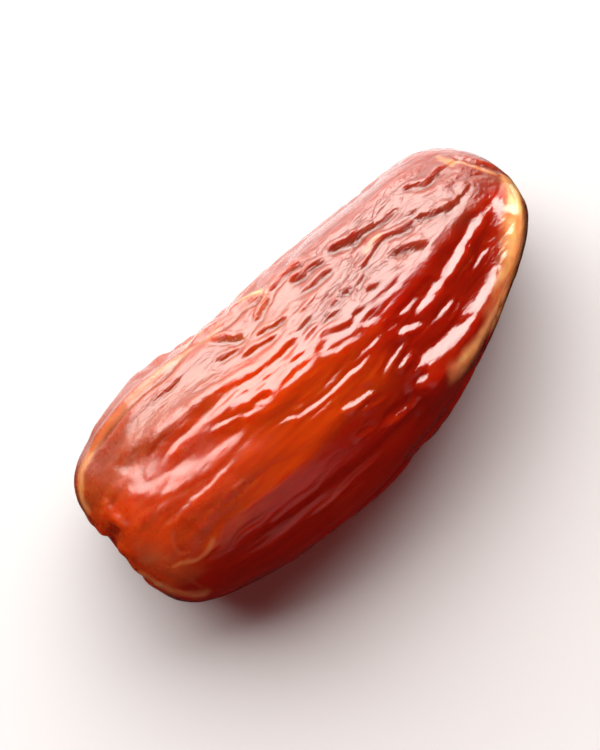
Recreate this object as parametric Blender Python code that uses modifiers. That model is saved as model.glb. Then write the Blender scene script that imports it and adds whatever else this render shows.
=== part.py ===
"""A dried date, 41 mm long, lying on a flat surface with its stem end towards -X.

The fruit is one piece, so it is one solid: a soft blunt body from a coarse cage with Subdivision Surface,
with the long folds of its shrunken skin pressed into it and a puckered scar where the stalk held it.
Run it with blender --background --python part.py. Metres, +Z up, origin under the middle of the date.
"""

import math

import bmesh
import bpy
import numpy as np
from mathutils import Vector, noise
from mathutils.bvhtree import BVHTree

MM = 0.001
SEGMENTS = 24
SMOOTHING_LEVELS = 2
# A subdivided ring lies inside its cage by this factor, which the cage makes up for.
CAGE_GROWTH = 1.0115

# Sections from the stem end to the tip, in millimetres: place along the date, the far side's y,
# the near side's y, the height of its back and the height of its belly above the surface it lies on.
STEM_POLE = (-19.45, -0.7, 7.2)
TIP_POLE = (21.25, -0.4, 6.9)
SECTIONS = (
    (-19.55, 2.8, -3.9, 9.8, 4.5),
    (-19.35, 4.6, -5.6, 11.7, 2.7),
    (-18.35, 6.1, -7.1, 13.1, 1.4),
    (-16.5, 7.1, -8.2, 14.2, 0.5),
    (-13.4, 7.9, -9.2, 15.0, -0.1),
    (-9.8, 8.55, -10.2, 15.5, -0.35),
    (-5.6, 7.85, -10.7, 15.8, -0.4),
    (-1.2, 7.5, -11.0, 15.8, -0.4),
    (3.4, 7.35, -10.7, 15.5, -0.4),
    (8.0, 7.0, -9.7, 15.0, -0.25),
    (12.2, 6.5, -8.1, 14.2, 0.3),
    (15.9, 6.3, -6.4, 13.1, 1.0),
    (18.8, 5.1, -4.9, 11.7, 2.2),
    (20.7, 2.9, -3.1, 9.6, 4.2),
)

# Folds on the side that faces up, in millimetres: depth, half width, and the route as (x, y) seen from
# above. A negative depth stands the fold up as a ridge.
BACK_FOLDS = (
    (0.42, 0.75, ((-17.2, 6.3), (-12.0, 7.2), (-6.0, 7.2), (-1.5, 6.8), (2.0, 6.0), (5.4, 5.8))),
    (0.42, 0.95, ((-14.5, 4.3), (-10.0, 3.5), (-6.0, 2.8), (-2.0, 2.2), (2.0, 2.3), (6.0, 2.7))),
    (0.34, 0.85, ((-12.0, 1.4), (-8.0, 1.1), (-5.0, 0.1), (-1.5, -0.6), (3.0, -1.1), (7.0, -1.9))),
    (0.34, 0.80, ((-15.5, 0.6), (-11.5, -0.9), (-7.0, -1.2), (-4.0, -1.4))),
    (0.34, 0.85, ((7.0, -2.2), (11.0, -1.5), (15.0, -0.7), (19.0, -0.6))),
    (0.30, 0.80, ((5.0, -3.7), (9.5, -3.4), (13.5, -2.8), (17.0, -2.5))),
    (0.36, 0.85, ((-16.0, -4.9), (-12.5, -5.0), (-7.0, -5.3), (-1.0, -5.6), (4.0, -5.6), (9.0, -5.4))),
    (0.24, 0.70, ((-15.2, -1.2), (-16.4, -2.0), (-16.7, -3.2), (-16.0, -4.3))),
    (0.36, 0.80, ((9.0, -5.3), (12.5, -5.3), (16.0, -4.0), (18.8, -2.7), (20.2, -1.0))),
    (0.30, 0.75, ((6.2, 1.0), (8.5, 2.2), (10.8, 2.8), (13.5, 2.1), (15.8, 1.1), (18.4, 1.0))),
    (0.30, 0.75, ((3.6, 5.3), (7.0, 4.8), (11.0, 4.1), (16.2, 3.5), (18.4, 3.3))),
    (0.32, 0.70, ((18.4, 4.6), (19.6, 2.7), (20.7, 0.4))),
    (0.24, 0.75, ((-13.0, -7.1), (-7.0, -7.8), (0.0, -8.2), (6.0, -7.9))),
    (-0.34, 0.95, ((-16.2, 2.5), (-13.5, 1.2), (-10.0, -0.1), (-6.5, -0.4))),
    (-0.26, 0.75, ((-5.5, -1.6), (-3.0, -2.5), (1.0, -2.8), (5.5, -2.9))),
    (-0.24, 0.80, ((8.5, -2.9), (12.0, -2.2), (16.5, -1.3))),
)

# Lifts stand the skin straight up, which makes the back flatter and its edges squarer than a rounded
# section: height, half width and route. The first two are the loose skin along the near edge at the
# tip, the third the far edge of the back. They fade out between two heights above the surface.
LIFTS = (
    (1.60, 2.10, ((3.5, -7.6), (6.5, -7.9), (9.5, -7.5), (12.5, -6.7), (15.5, -5.5), (19.8, -2.2))),
    (0.95, 0.85, ((7.0, -8.1), (11.5, -7.7), (15.5, -6.2), (18.9, -4.1), (20.3, -2.4), (21.0, -0.5))),
    (1.05, 1.80, ((-16.5, 5.8), (-10.0, 7.1), (-4.0, 6.5), (4.0, 6.2), (12.0, 5.5), (18.0, 4.2))),
)
LIFT_FADE = (2.0, 7.0)

# The deepest pucker of the stem end runs over its upper edge and parts it in two lobes.
END_NOTCH = (0.60, 0.80, ((-17.6, 1.1, 13.4), (-18.9, 0.8, 12.2), (-19.6, 0.6, 10.4), (-19.8, 0.2, 8.4)))

# Folds on the flanks and the belly are drawn by a rule: mostly lengthwise, gently waving.
FLANK_FOLDS = 26
FLANK_FOLD_SEED = 7
FLANK_ANGLES = (math.radians(72.0), math.radians(288.0))
FLANK_FOLD_LENGTH = (9.0, 22.0)
FLANK_FOLD_DEPTH = (0.18, 0.42)
FLANK_FOLD_WIDTH = (0.7, 1.0)
FLANK_REACH = (-15.0, 17.0)
FLANK_GAP = (0.2, 0.8)
FLANK_SWAY = 0.11
FLANK_SHARES = (0.0, 0.25, 0.5, 0.75, 1.0)

# The stem scar is a round dimple in the blunt end, with folds that run out of it.
SCAR_CENTRE = (-0.4, 7.6)
SCAR_RADIUS = 2.0
SCAR_DEPTH = 1.0
SCAR_RIM = 0.2
SCAR_RIM_PLACE = 1.55
SCAR_RIM_WIDTH = 0.4
SCAR_FADE = (15.0, 17.5)
PUCKERS = 7
PUCKER_DEPTH = 0.22
PUCKER_WIDTH = 0.75
PUCKER_START = 1.2
PUCKER_REACH = (3.6, 5.0)
PUCKER_UNEVEN = 0.25
PUCKER_POINTS = 8
PUCKER_SEED = 3

# Routes are found on the body by rays that start this far outside it.
OUTSIDE = 40.0

SHOULDER = 0.38
TAPER = 0.16
SPOT_FADE = (0.15, 1.4)
RIPPLE_HEIGHT = 0.16
RIPPLE_ALONG = 5.2
RIPPLE_ACROSS = 1.9


def clear_scene():
    for obj in list(bpy.data.objects):
        bpy.data.objects.remove(obj, do_unlink=True)


def smooth_step(value, low, high):
    share = np.clip((value - low) / (high - low), 0.0, 1.0)
    return share * share * (3.0 - 2.0 * share)


def cage():
    """A UV sphere whose rings are stretched and moved to the date's sections, poles at its two ends."""
    mesh = bpy.data.meshes.new("date")
    shape = bmesh.new()
    bmesh.ops.create_uvsphere(
        shape, u_segments=SEGMENTS, v_segments=len(SECTIONS) + 1, radius=1.0
    )
    bands = len(SECTIONS) + 1
    for vertex in shape.verts:
        across, over, along = vertex.co
        ring = round(math.acos(max(-1.0, min(1.0, along))) * bands / math.pi)
        if ring == 0:
            vertex.co = Vector(TIP_POLE)
            continue
        if ring == bands:
            vertex.co = Vector(STEM_POLE)
            continue
        x, far, near, back, belly = SECTIONS[-ring]
        turn = math.atan2(across, over)
        half_width = (far - near) / 2 * CAGE_GROWTH
        half_height = (back - belly) / 2 * CAGE_GROWTH
        vertex.co = Vector(
            (
                x,
                (far + near) / 2 + half_width * math.sin(turn),
                (back + belly) / 2 + half_height * math.cos(turn),
            )
        )
    bmesh.ops.recalc_face_normals(shape, faces=shape.faces)
    shape.to_mesh(mesh)
    shape.free()
    return mesh


def smoothed(mesh):
    """The mesh after Subdivision Surface, as a new mesh."""
    obj = bpy.data.objects.new("date_cage", mesh)
    bpy.context.scene.collection.objects.link(obj)
    rounding = obj.modifiers.new("rounding", "SUBSURF")
    rounding.levels = SMOOTHING_LEVELS
    rounding.render_levels = SMOOTHING_LEVELS
    graph = bpy.context.evaluated_depsgraph_get()
    made = bpy.data.meshes.new_from_object(obj.evaluated_get(graph))
    bpy.data.objects.remove(obj, do_unlink=True)
    bpy.data.meshes.remove(mesh)
    return made


def curve_through(points, steps=8):
    """Points on a smooth Catmull-Rom curve through a few points."""
    given = [Vector(p) for p in points]
    ends = [2 * given[0] - given[1], *given, 2 * given[-1] - given[-2]]
    curve = []
    for a, b, c, d in zip(ends, ends[1:], ends[2:], ends[3:]):
        for step in range(steps):
            t = step / steps
            curve.append(
                0.5
                * (
                    2 * b
                    + (c - a) * t
                    + (2 * a - 5 * b + 4 * c - d) * t**2
                    + (3 * b - a - 3 * c + d) * t**3
                )
            )
    curve.append(given[-1])
    return curve


def axis_at(x):
    """The middle of the date's section at x."""
    places = [s[0] for s in SECTIONS[1:]]
    y = np.interp(x, places, [(s[1] + s[2]) / 2 for s in SECTIONS[1:]])
    z = np.interp(x, places, [(s[3] + s[4]) / 2 for s in SECTIONS[1:]])
    return Vector((x, float(y), float(z)))


def on_back(surface, route):
    """The route as seen from above, laid on the surface."""
    down = Vector((0, 0, -1))
    found = [surface.ray_cast(Vector((x, y, OUTSIDE)), down)[0] for x, y in curve_through(route)]
    return [p for p in found if p is not None]


def on_flank(surface, route):
    """A route of (x, angle from straight up) laid on the surface."""
    found = []
    for x, turn in curve_through(route):
        outwards = Vector((0, math.sin(turn), math.cos(turn)))
        found.append(surface.ray_cast(axis_at(x), outwards)[0])
    return [p for p in found if p is not None]


def beside(surface, route):
    """A route of points near the surface, laid on it."""
    return [surface.find_nearest(point)[0] for point in curve_through(route)]


def fold_height(points, line, depth, width, shoulder=SHOULDER):
    """How far a fold along the line moves each point: a crease with raised shoulders, fading at its ends."""
    line = np.array(line)
    steps = np.linalg.norm(np.diff(line, axis=0), axis=1)
    starts = np.concatenate([[0.0], np.cumsum(steps)])
    nearest = np.full(len(points), np.inf)
    place = np.zeros(len(points))
    for start, end, length, begin in zip(line, line[1:], steps, starts):
        share = np.clip((points - start) @ (end - start) / length**2, 0.0, 1.0)
        gap = np.linalg.norm(points - start - share[:, None] * (end - start), axis=1)
        closer = gap < nearest
        nearest = np.where(closer, gap, nearest)
        place = np.where(closer, (begin + share * length) / starts[-1], place)
    spread = (nearest / width) ** 2
    fade = smooth_step(place, 0.0, TAPER) * smooth_step(1.0 - place, 0.0, TAPER)
    return -depth * (1.0 - shoulder * spread) * np.exp(-spread) * fade


def flank_routes():
    """Routes of the folds on the flanks and the belly, drawn with a fixed seed."""
    draw = np.random.default_rng(FLANK_FOLD_SEED)
    low, high = FLANK_ANGLES
    for number in range(FLANK_FOLDS):
        length = draw.uniform(*FLANK_FOLD_LENGTH)
        middle = draw.uniform(FLANK_REACH[0] + length / 2, FLANK_REACH[1] - length / 2)
        turn = low + (high - low) * (number + draw.uniform(*FLANK_GAP)) / FLANK_FOLDS
        depth = draw.uniform(*FLANK_FOLD_DEPTH)
        width = draw.uniform(*FLANK_FOLD_WIDTH)
        sway = draw.uniform(-FLANK_SWAY, FLANK_SWAY, len(FLANK_SHARES))
        route = [
            (middle + length * (share - 0.5), turn + aside)
            for share, aside in zip(FLANK_SHARES, sway)
        ]
        yield depth, width, route


def pucker_lines(surface):
    """Short folds that run out of the stem scar, over the end's rounded edge."""
    draw = np.random.default_rng(PUCKER_SEED)
    for number in range(PUCKERS):
        turn = 2 * math.pi * (number + draw.uniform(-PUCKER_UNEVEN, PUCKER_UNEVEN)) / PUCKERS
        reach = draw.uniform(*PUCKER_REACH)
        line = []
        for out in np.linspace(PUCKER_START, reach, PUCKER_POINTS):
            y = SCAR_CENTRE[0] + out * math.sin(turn)
            z = SCAR_CENTRE[1] + out * math.cos(turn)
            line.append(surface.ray_cast(Vector((-OUTSIDE, y, z)), Vector((1, 0, 0)))[0])
        yield [p for p in line if p is not None]


def scar_height(points):
    """The dimple of the stem scar and the low rim round it."""
    y, z = SCAR_CENTRE
    out = np.hypot(points[:, 1] - y, points[:, 2] - z) / SCAR_RADIUS
    at_end = smooth_step(-points[:, 0], *SCAR_FADE)
    dimple = -SCAR_DEPTH * np.exp(-(out**4))
    rim = SCAR_RIM * np.exp(-(((out - SCAR_RIM_PLACE) / SCAR_RIM_WIDTH) ** 2))
    return (dimple + rim) * at_end


def ripple_height(points):
    """The low lengthwise ripple of the skin between its folds, with narrow valleys."""
    heights = []
    for x, y, z in points:
        place = Vector((x / RIPPLE_ALONG, y / RIPPLE_ACROSS, z / RIPPLE_ACROSS))
        heights.append(0.5 - math.sqrt(abs(noise.noise(place))))
    return RIPPLE_HEIGHT * -np.array(heights)


def lift_height(points, surface):
    """How far the lifts raise each point, straight up."""
    lift = np.zeros(len(points))
    for high, width, route in LIFTS:
        lift += fold_height(points, on_back(surface, route), -high, width, shoulder=0.0)
    return lift * smooth_step(points[:, 2], *LIFT_FADE)


def date_body():
    """The body with its folds, lifts, scar, ripple and the small flat spot it lies on."""
    mesh = smoothed(cage())
    surface = BVHTree.FromPolygons(
        [v.co.copy() for v in mesh.vertices], [list(p.vertices) for p in mesh.polygons]
    )
    points = np.array([v.co for v in mesh.vertices])
    outwards = np.array([v.normal for v in mesh.vertices])
    height = ripple_height(points) + scar_height(points)
    for depth, width, route in BACK_FOLDS:
        height += fold_height(points, on_back(surface, route), depth, width)
    depth, width, route = END_NOTCH
    height += fold_height(points, beside(surface, route), depth, width)
    for depth, width, route in flank_routes():
        height += fold_height(points, on_flank(surface, route), depth, width)
    for line in pucker_lines(surface):
        height += fold_height(points, line, PUCKER_DEPTH, PUCKER_WIDTH)
    height *= smooth_step(points[:, 2], *SPOT_FADE)
    lift = lift_height(points, surface)
    points = points + outwards * height[:, None]
    points[:, 2] = np.maximum(points[:, 2] + lift, 0.0)
    middle = (points.min(axis=0) + points.max(axis=0)) / 2
    points[:, :2] -= middle[:2]
    mesh.vertices.foreach_set("co", (points * MM).ravel())
    mesh.update()
    return mesh


def skin_material():
    skin = bpy.data.materials.new("date_skin")
    skin.use_nodes = True
    shader = skin.node_tree.nodes["Principled BSDF"]
    shader.inputs["Base Color"].default_value = (0.42, 0.06, 0.012, 1.0)
    shader.inputs["Roughness"].default_value = 0.28
    shader.inputs["Metallic"].default_value = 0.0
    return skin


def build():
    clear_scene()
    fruit = bpy.data.collections.new("dried_date")
    bpy.context.scene.collection.children.link(fruit)
    mesh = date_body()
    date = bpy.data.objects.new("date", mesh)
    fruit.objects.link(date)
    mesh.materials.append(skin_material())
    mesh.shade_smooth()


build()
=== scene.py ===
"""The looks of a dried date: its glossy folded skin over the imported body, on a plain pale stage."""

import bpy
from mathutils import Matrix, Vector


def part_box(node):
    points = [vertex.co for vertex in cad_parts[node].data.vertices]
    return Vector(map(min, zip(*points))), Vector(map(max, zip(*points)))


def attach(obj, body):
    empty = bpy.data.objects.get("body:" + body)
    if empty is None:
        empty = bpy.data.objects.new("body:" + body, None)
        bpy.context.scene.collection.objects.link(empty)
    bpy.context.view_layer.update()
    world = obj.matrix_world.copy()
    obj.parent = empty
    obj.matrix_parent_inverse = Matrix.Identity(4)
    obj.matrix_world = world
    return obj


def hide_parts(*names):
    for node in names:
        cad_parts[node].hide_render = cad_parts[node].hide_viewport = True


bl_info = {
    "name": "Dried date",
    "version": (1, 0, 0),
    "blender": (4, 5, 0),
    "location": "3D View > Sidebar > Dried date",
    "description": "Models one dried date with its folded, glossy skin, and a plain stage for it",
    "category": "Add Mesh",
}

import math

import bpy
import numpy as np
from mathutils import Vector, noise
from mathutils.bvhtree import BVHTree

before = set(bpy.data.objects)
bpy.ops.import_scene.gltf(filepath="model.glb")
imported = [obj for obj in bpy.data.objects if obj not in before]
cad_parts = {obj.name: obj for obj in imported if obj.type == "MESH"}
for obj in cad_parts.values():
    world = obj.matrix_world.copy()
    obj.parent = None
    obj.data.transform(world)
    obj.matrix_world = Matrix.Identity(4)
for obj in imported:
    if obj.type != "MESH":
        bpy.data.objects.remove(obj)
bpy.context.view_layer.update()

MM = 0.001

# Everything in the lists below is in millimetres, in a frame with +X from the stem end to the tip,
# +Y across and the surface that the date lies on at z 0. The body is moved to its place at the end.

SEGMENTS = 24
SMOOTHING_LEVELS = 4
# A subdivided ring lies inside its cage by this factor, which the cage makes up for.
CAGE_GROWTH = 1.0115
CLOSE = 0.01 * MM

# Sections from the stem end to the tip: place along the date, the far side's y, the near side's y,
# the height of its back and the height of its belly.
STEM_POLE = (-19.45, -0.7, 7.2)
TIP_POLE = (21.25, -0.4, 6.9)
SECTIONS = (
    (-19.55, 2.8, -3.9, 9.8, 4.5),
    (-19.35, 4.6, -5.6, 11.7, 2.7),
    (-18.35, 6.1, -7.1, 13.1, 1.4),
    (-16.5, 7.1, -8.2, 14.2, 0.5),
    (-13.4, 7.9, -9.2, 15.0, -0.1),
    (-9.8, 8.55, -10.2, 15.5, -0.35),
    (-5.6, 7.85, -10.7, 15.8, -0.4),
    (-1.2, 7.5, -11.0, 15.8, -0.4),
    (3.4, 7.35, -10.7, 15.5, -0.4),
    (8.0, 7.0, -9.7, 15.0, -0.25),
    (12.2, 6.5, -8.1, 14.2, 0.3),
    (15.9, 6.5, -6.4, 13.1, 1.0),
    (18.8, 5.2, -4.9, 11.7, 2.2),
    (20.7, 2.6, -3.1, 9.6, 4.2),
)

# A route of two numbers a point is seen from above and laid on the back. A swelling is its height and
# half width, and presses the skin in where its height is negative.
SWELLINGS = (
    (0.22, 0.80, ((-15.5, 7.3), (-12.0, 7.9), (-9.0, 8.2), (-6.0, 7.8))),
    (-0.20, 1.30, ((14.5, -2.6), (17.0, -2.4), (19.3, -1.7))),
    (-0.16, 0.60, ((-13.0, -6.6), (-7.0, -7.6), (0.0, -8.3), (6.0, -8.0))),
    (0.10, 0.90, ((-14.5, -2.9), (-12.0, -2.9), (-9.0, -2.8))),
)
# Lifts make the back flatter and its edges squarer than a rounded section: height, half width and
# route. The first two are the loose skin that stands up along the near edge at the tip, the third
# the far edge of the back. They fade out down the flanks.
LIFT_FADE_Z = (2.0, 7.0)
LIFTS = (
    (1.60, 2.10, (
        (3.5, -7.6), (6.5, -7.9), (9.5, -7.5), (12.5, -6.7), (15.5, -5.5), (18.0, -4.1),
        (19.8, -2.2), (20.6, 0.0),
    )),
    (0.95, 0.85, (
        (7.0, -8.1), (9.5, -8.2), (11.5, -7.7), (13.5, -7.0), (15.5, -6.2), (17.3, -5.3),
        (18.9, -4.1), (20.3, -2.4), (21.0, -0.5),
    )),
    (1.05, 1.80, (
        (-16.5, 5.8), (-13.5, 6.7), (-10.0, 7.1), (-7.0, 6.8), (-4.0, 6.5), (0.0, 6.3), (4.0, 6.2),
        (8.0, 6.0), (12.0, 5.5), (15.0, 5.2), (18.0, 4.2),
    )),
)
# The notch in the outline at the stem end. Its route's points have a height as well.
END_NOTCH = (-0.60, 0.80, ((-18.2, 1.1, 13.0), (-19.0, 0.9, 12.0), (-19.6, 0.6, 10.4), (-19.8, 0.2, 8.4)))

# A fold turns the skin along its route: by its slope, towards +Y where that is positive and the light
# comes from, and away from it where that is negative. The second number is the fold's half width.
BROAD_FOLDS = (
    # the lower edge of the sheen on the stem half
    (-0.34, 1.35, (
        (-15.5, 2.7), (-13.0, 2.6), (-10.0, 2.1), (-7.6, 1.4), (-5.8, 0.2), (-4.0, -0.8),
        (-1.0, -1.2), (2.0, -1.3), (6.5, -1.6),
    )),
    (-0.33, 0.80, ((-15.5, 4.4), (-13.5, 4.0), (-11.5, 3.5), (-10.0, 3.2), (-8.0, 3.0), (-6.0, 2.8))),
    (-0.60, 0.50, ((-9.0, 3.2), (-6.8, 3.1), (-5.2, 2.8), (-3.8, 2.35), (-1.6, 2.1))),
    # the long crease in the middle of the sheen
    (-0.72, 0.34, (
        (-3.4, 2.3), (-1.5, 2.15), (0.2, 2.2), (1.5, 2.35), (3.4, 2.4), (4.6, 2.6), (6.1, 2.8),
    )),
    # dark bands below it, out to the tip
    (-0.26, 0.55, ((-13.0, 1.7), (-11.0, 1.4), (-8.9, 0.9), (-7.4, 0.4), (-6.2, -0.1))),
    (-0.24, 0.55, ((-5.8, -0.5), (-3.5, -0.9), (-1.0, -1.1), (1.0, -1.2), (3.0, -1.5), (5.0, -1.8))),
    (-0.42, 0.58, (
        (5.0, -2.2), (7.5, -1.9), (9.0, -1.8), (10.5, -1.5), (12.3, -1.1), (14.5, -0.6),
        (16.5, -0.4), (19.0, -0.6),
    )),
    # the soft band at the stem end and the dark below it
    (0.12, 0.46, ((-16.2, 2.9), (-15.3, 2.1), (-14.5, 1.3), (-13.4, 0.6), (-12.2, 0.2))),
    (-0.17, 0.80, ((-13.4, 0.0), (-11.5, -0.3), (-9.5, -0.5), (-7.0, -0.7))),
    # broad glints of the near side
    (0.60, 0.40, ((8.2, -3.0), (9.4, -2.8), (10.6, -2.7), (12.1, -2.4))),
    (0.60, 0.43, ((11.4, -2.7), (13.0, -2.2), (14.2, -1.9), (15.6, -1.6), (18.0, -1.0))),
    (0.60, 0.34, ((6.6, -2.8), (7.5, -3.2), (8.2, -3.5), (9.2, -3.9))),
    (0.26, 0.24, ((-13.6, -2.9), (-12.2, -3.0), (-10.6, -2.7), (-8.8, -2.9), (-6.8, -3.2))),
    # the sheen inside the loose skin
    (0.38, 0.70, ((10.4, -5.4), (12.2, -5.5), (13.8, -5.4), (15.8, -4.8), (17.5, -3.9), (19.0, -2.8))),
    (0.40, 0.56, ((5.6, -5.5), (7.4, -5.9), (8.8, -6.1), (10.0, -6.2), (12.6, -6.1))),
    (0.34, 0.50, ((14.6, -5.6), (16.4, -4.9), (18.2, -3.7), (19.6, -2.2), (20.3, -0.9))),
    # a low ridge from the stem end
    (0.20, 0.50, (
        (-16.6, -4.2), (-14.6, -4.6), (-12.2, -4.0), (-10.4, -4.0), (-8.0, -4.4), (-5.0, -4.8),
        (-2.0, -4.9),
    )),
)
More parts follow.
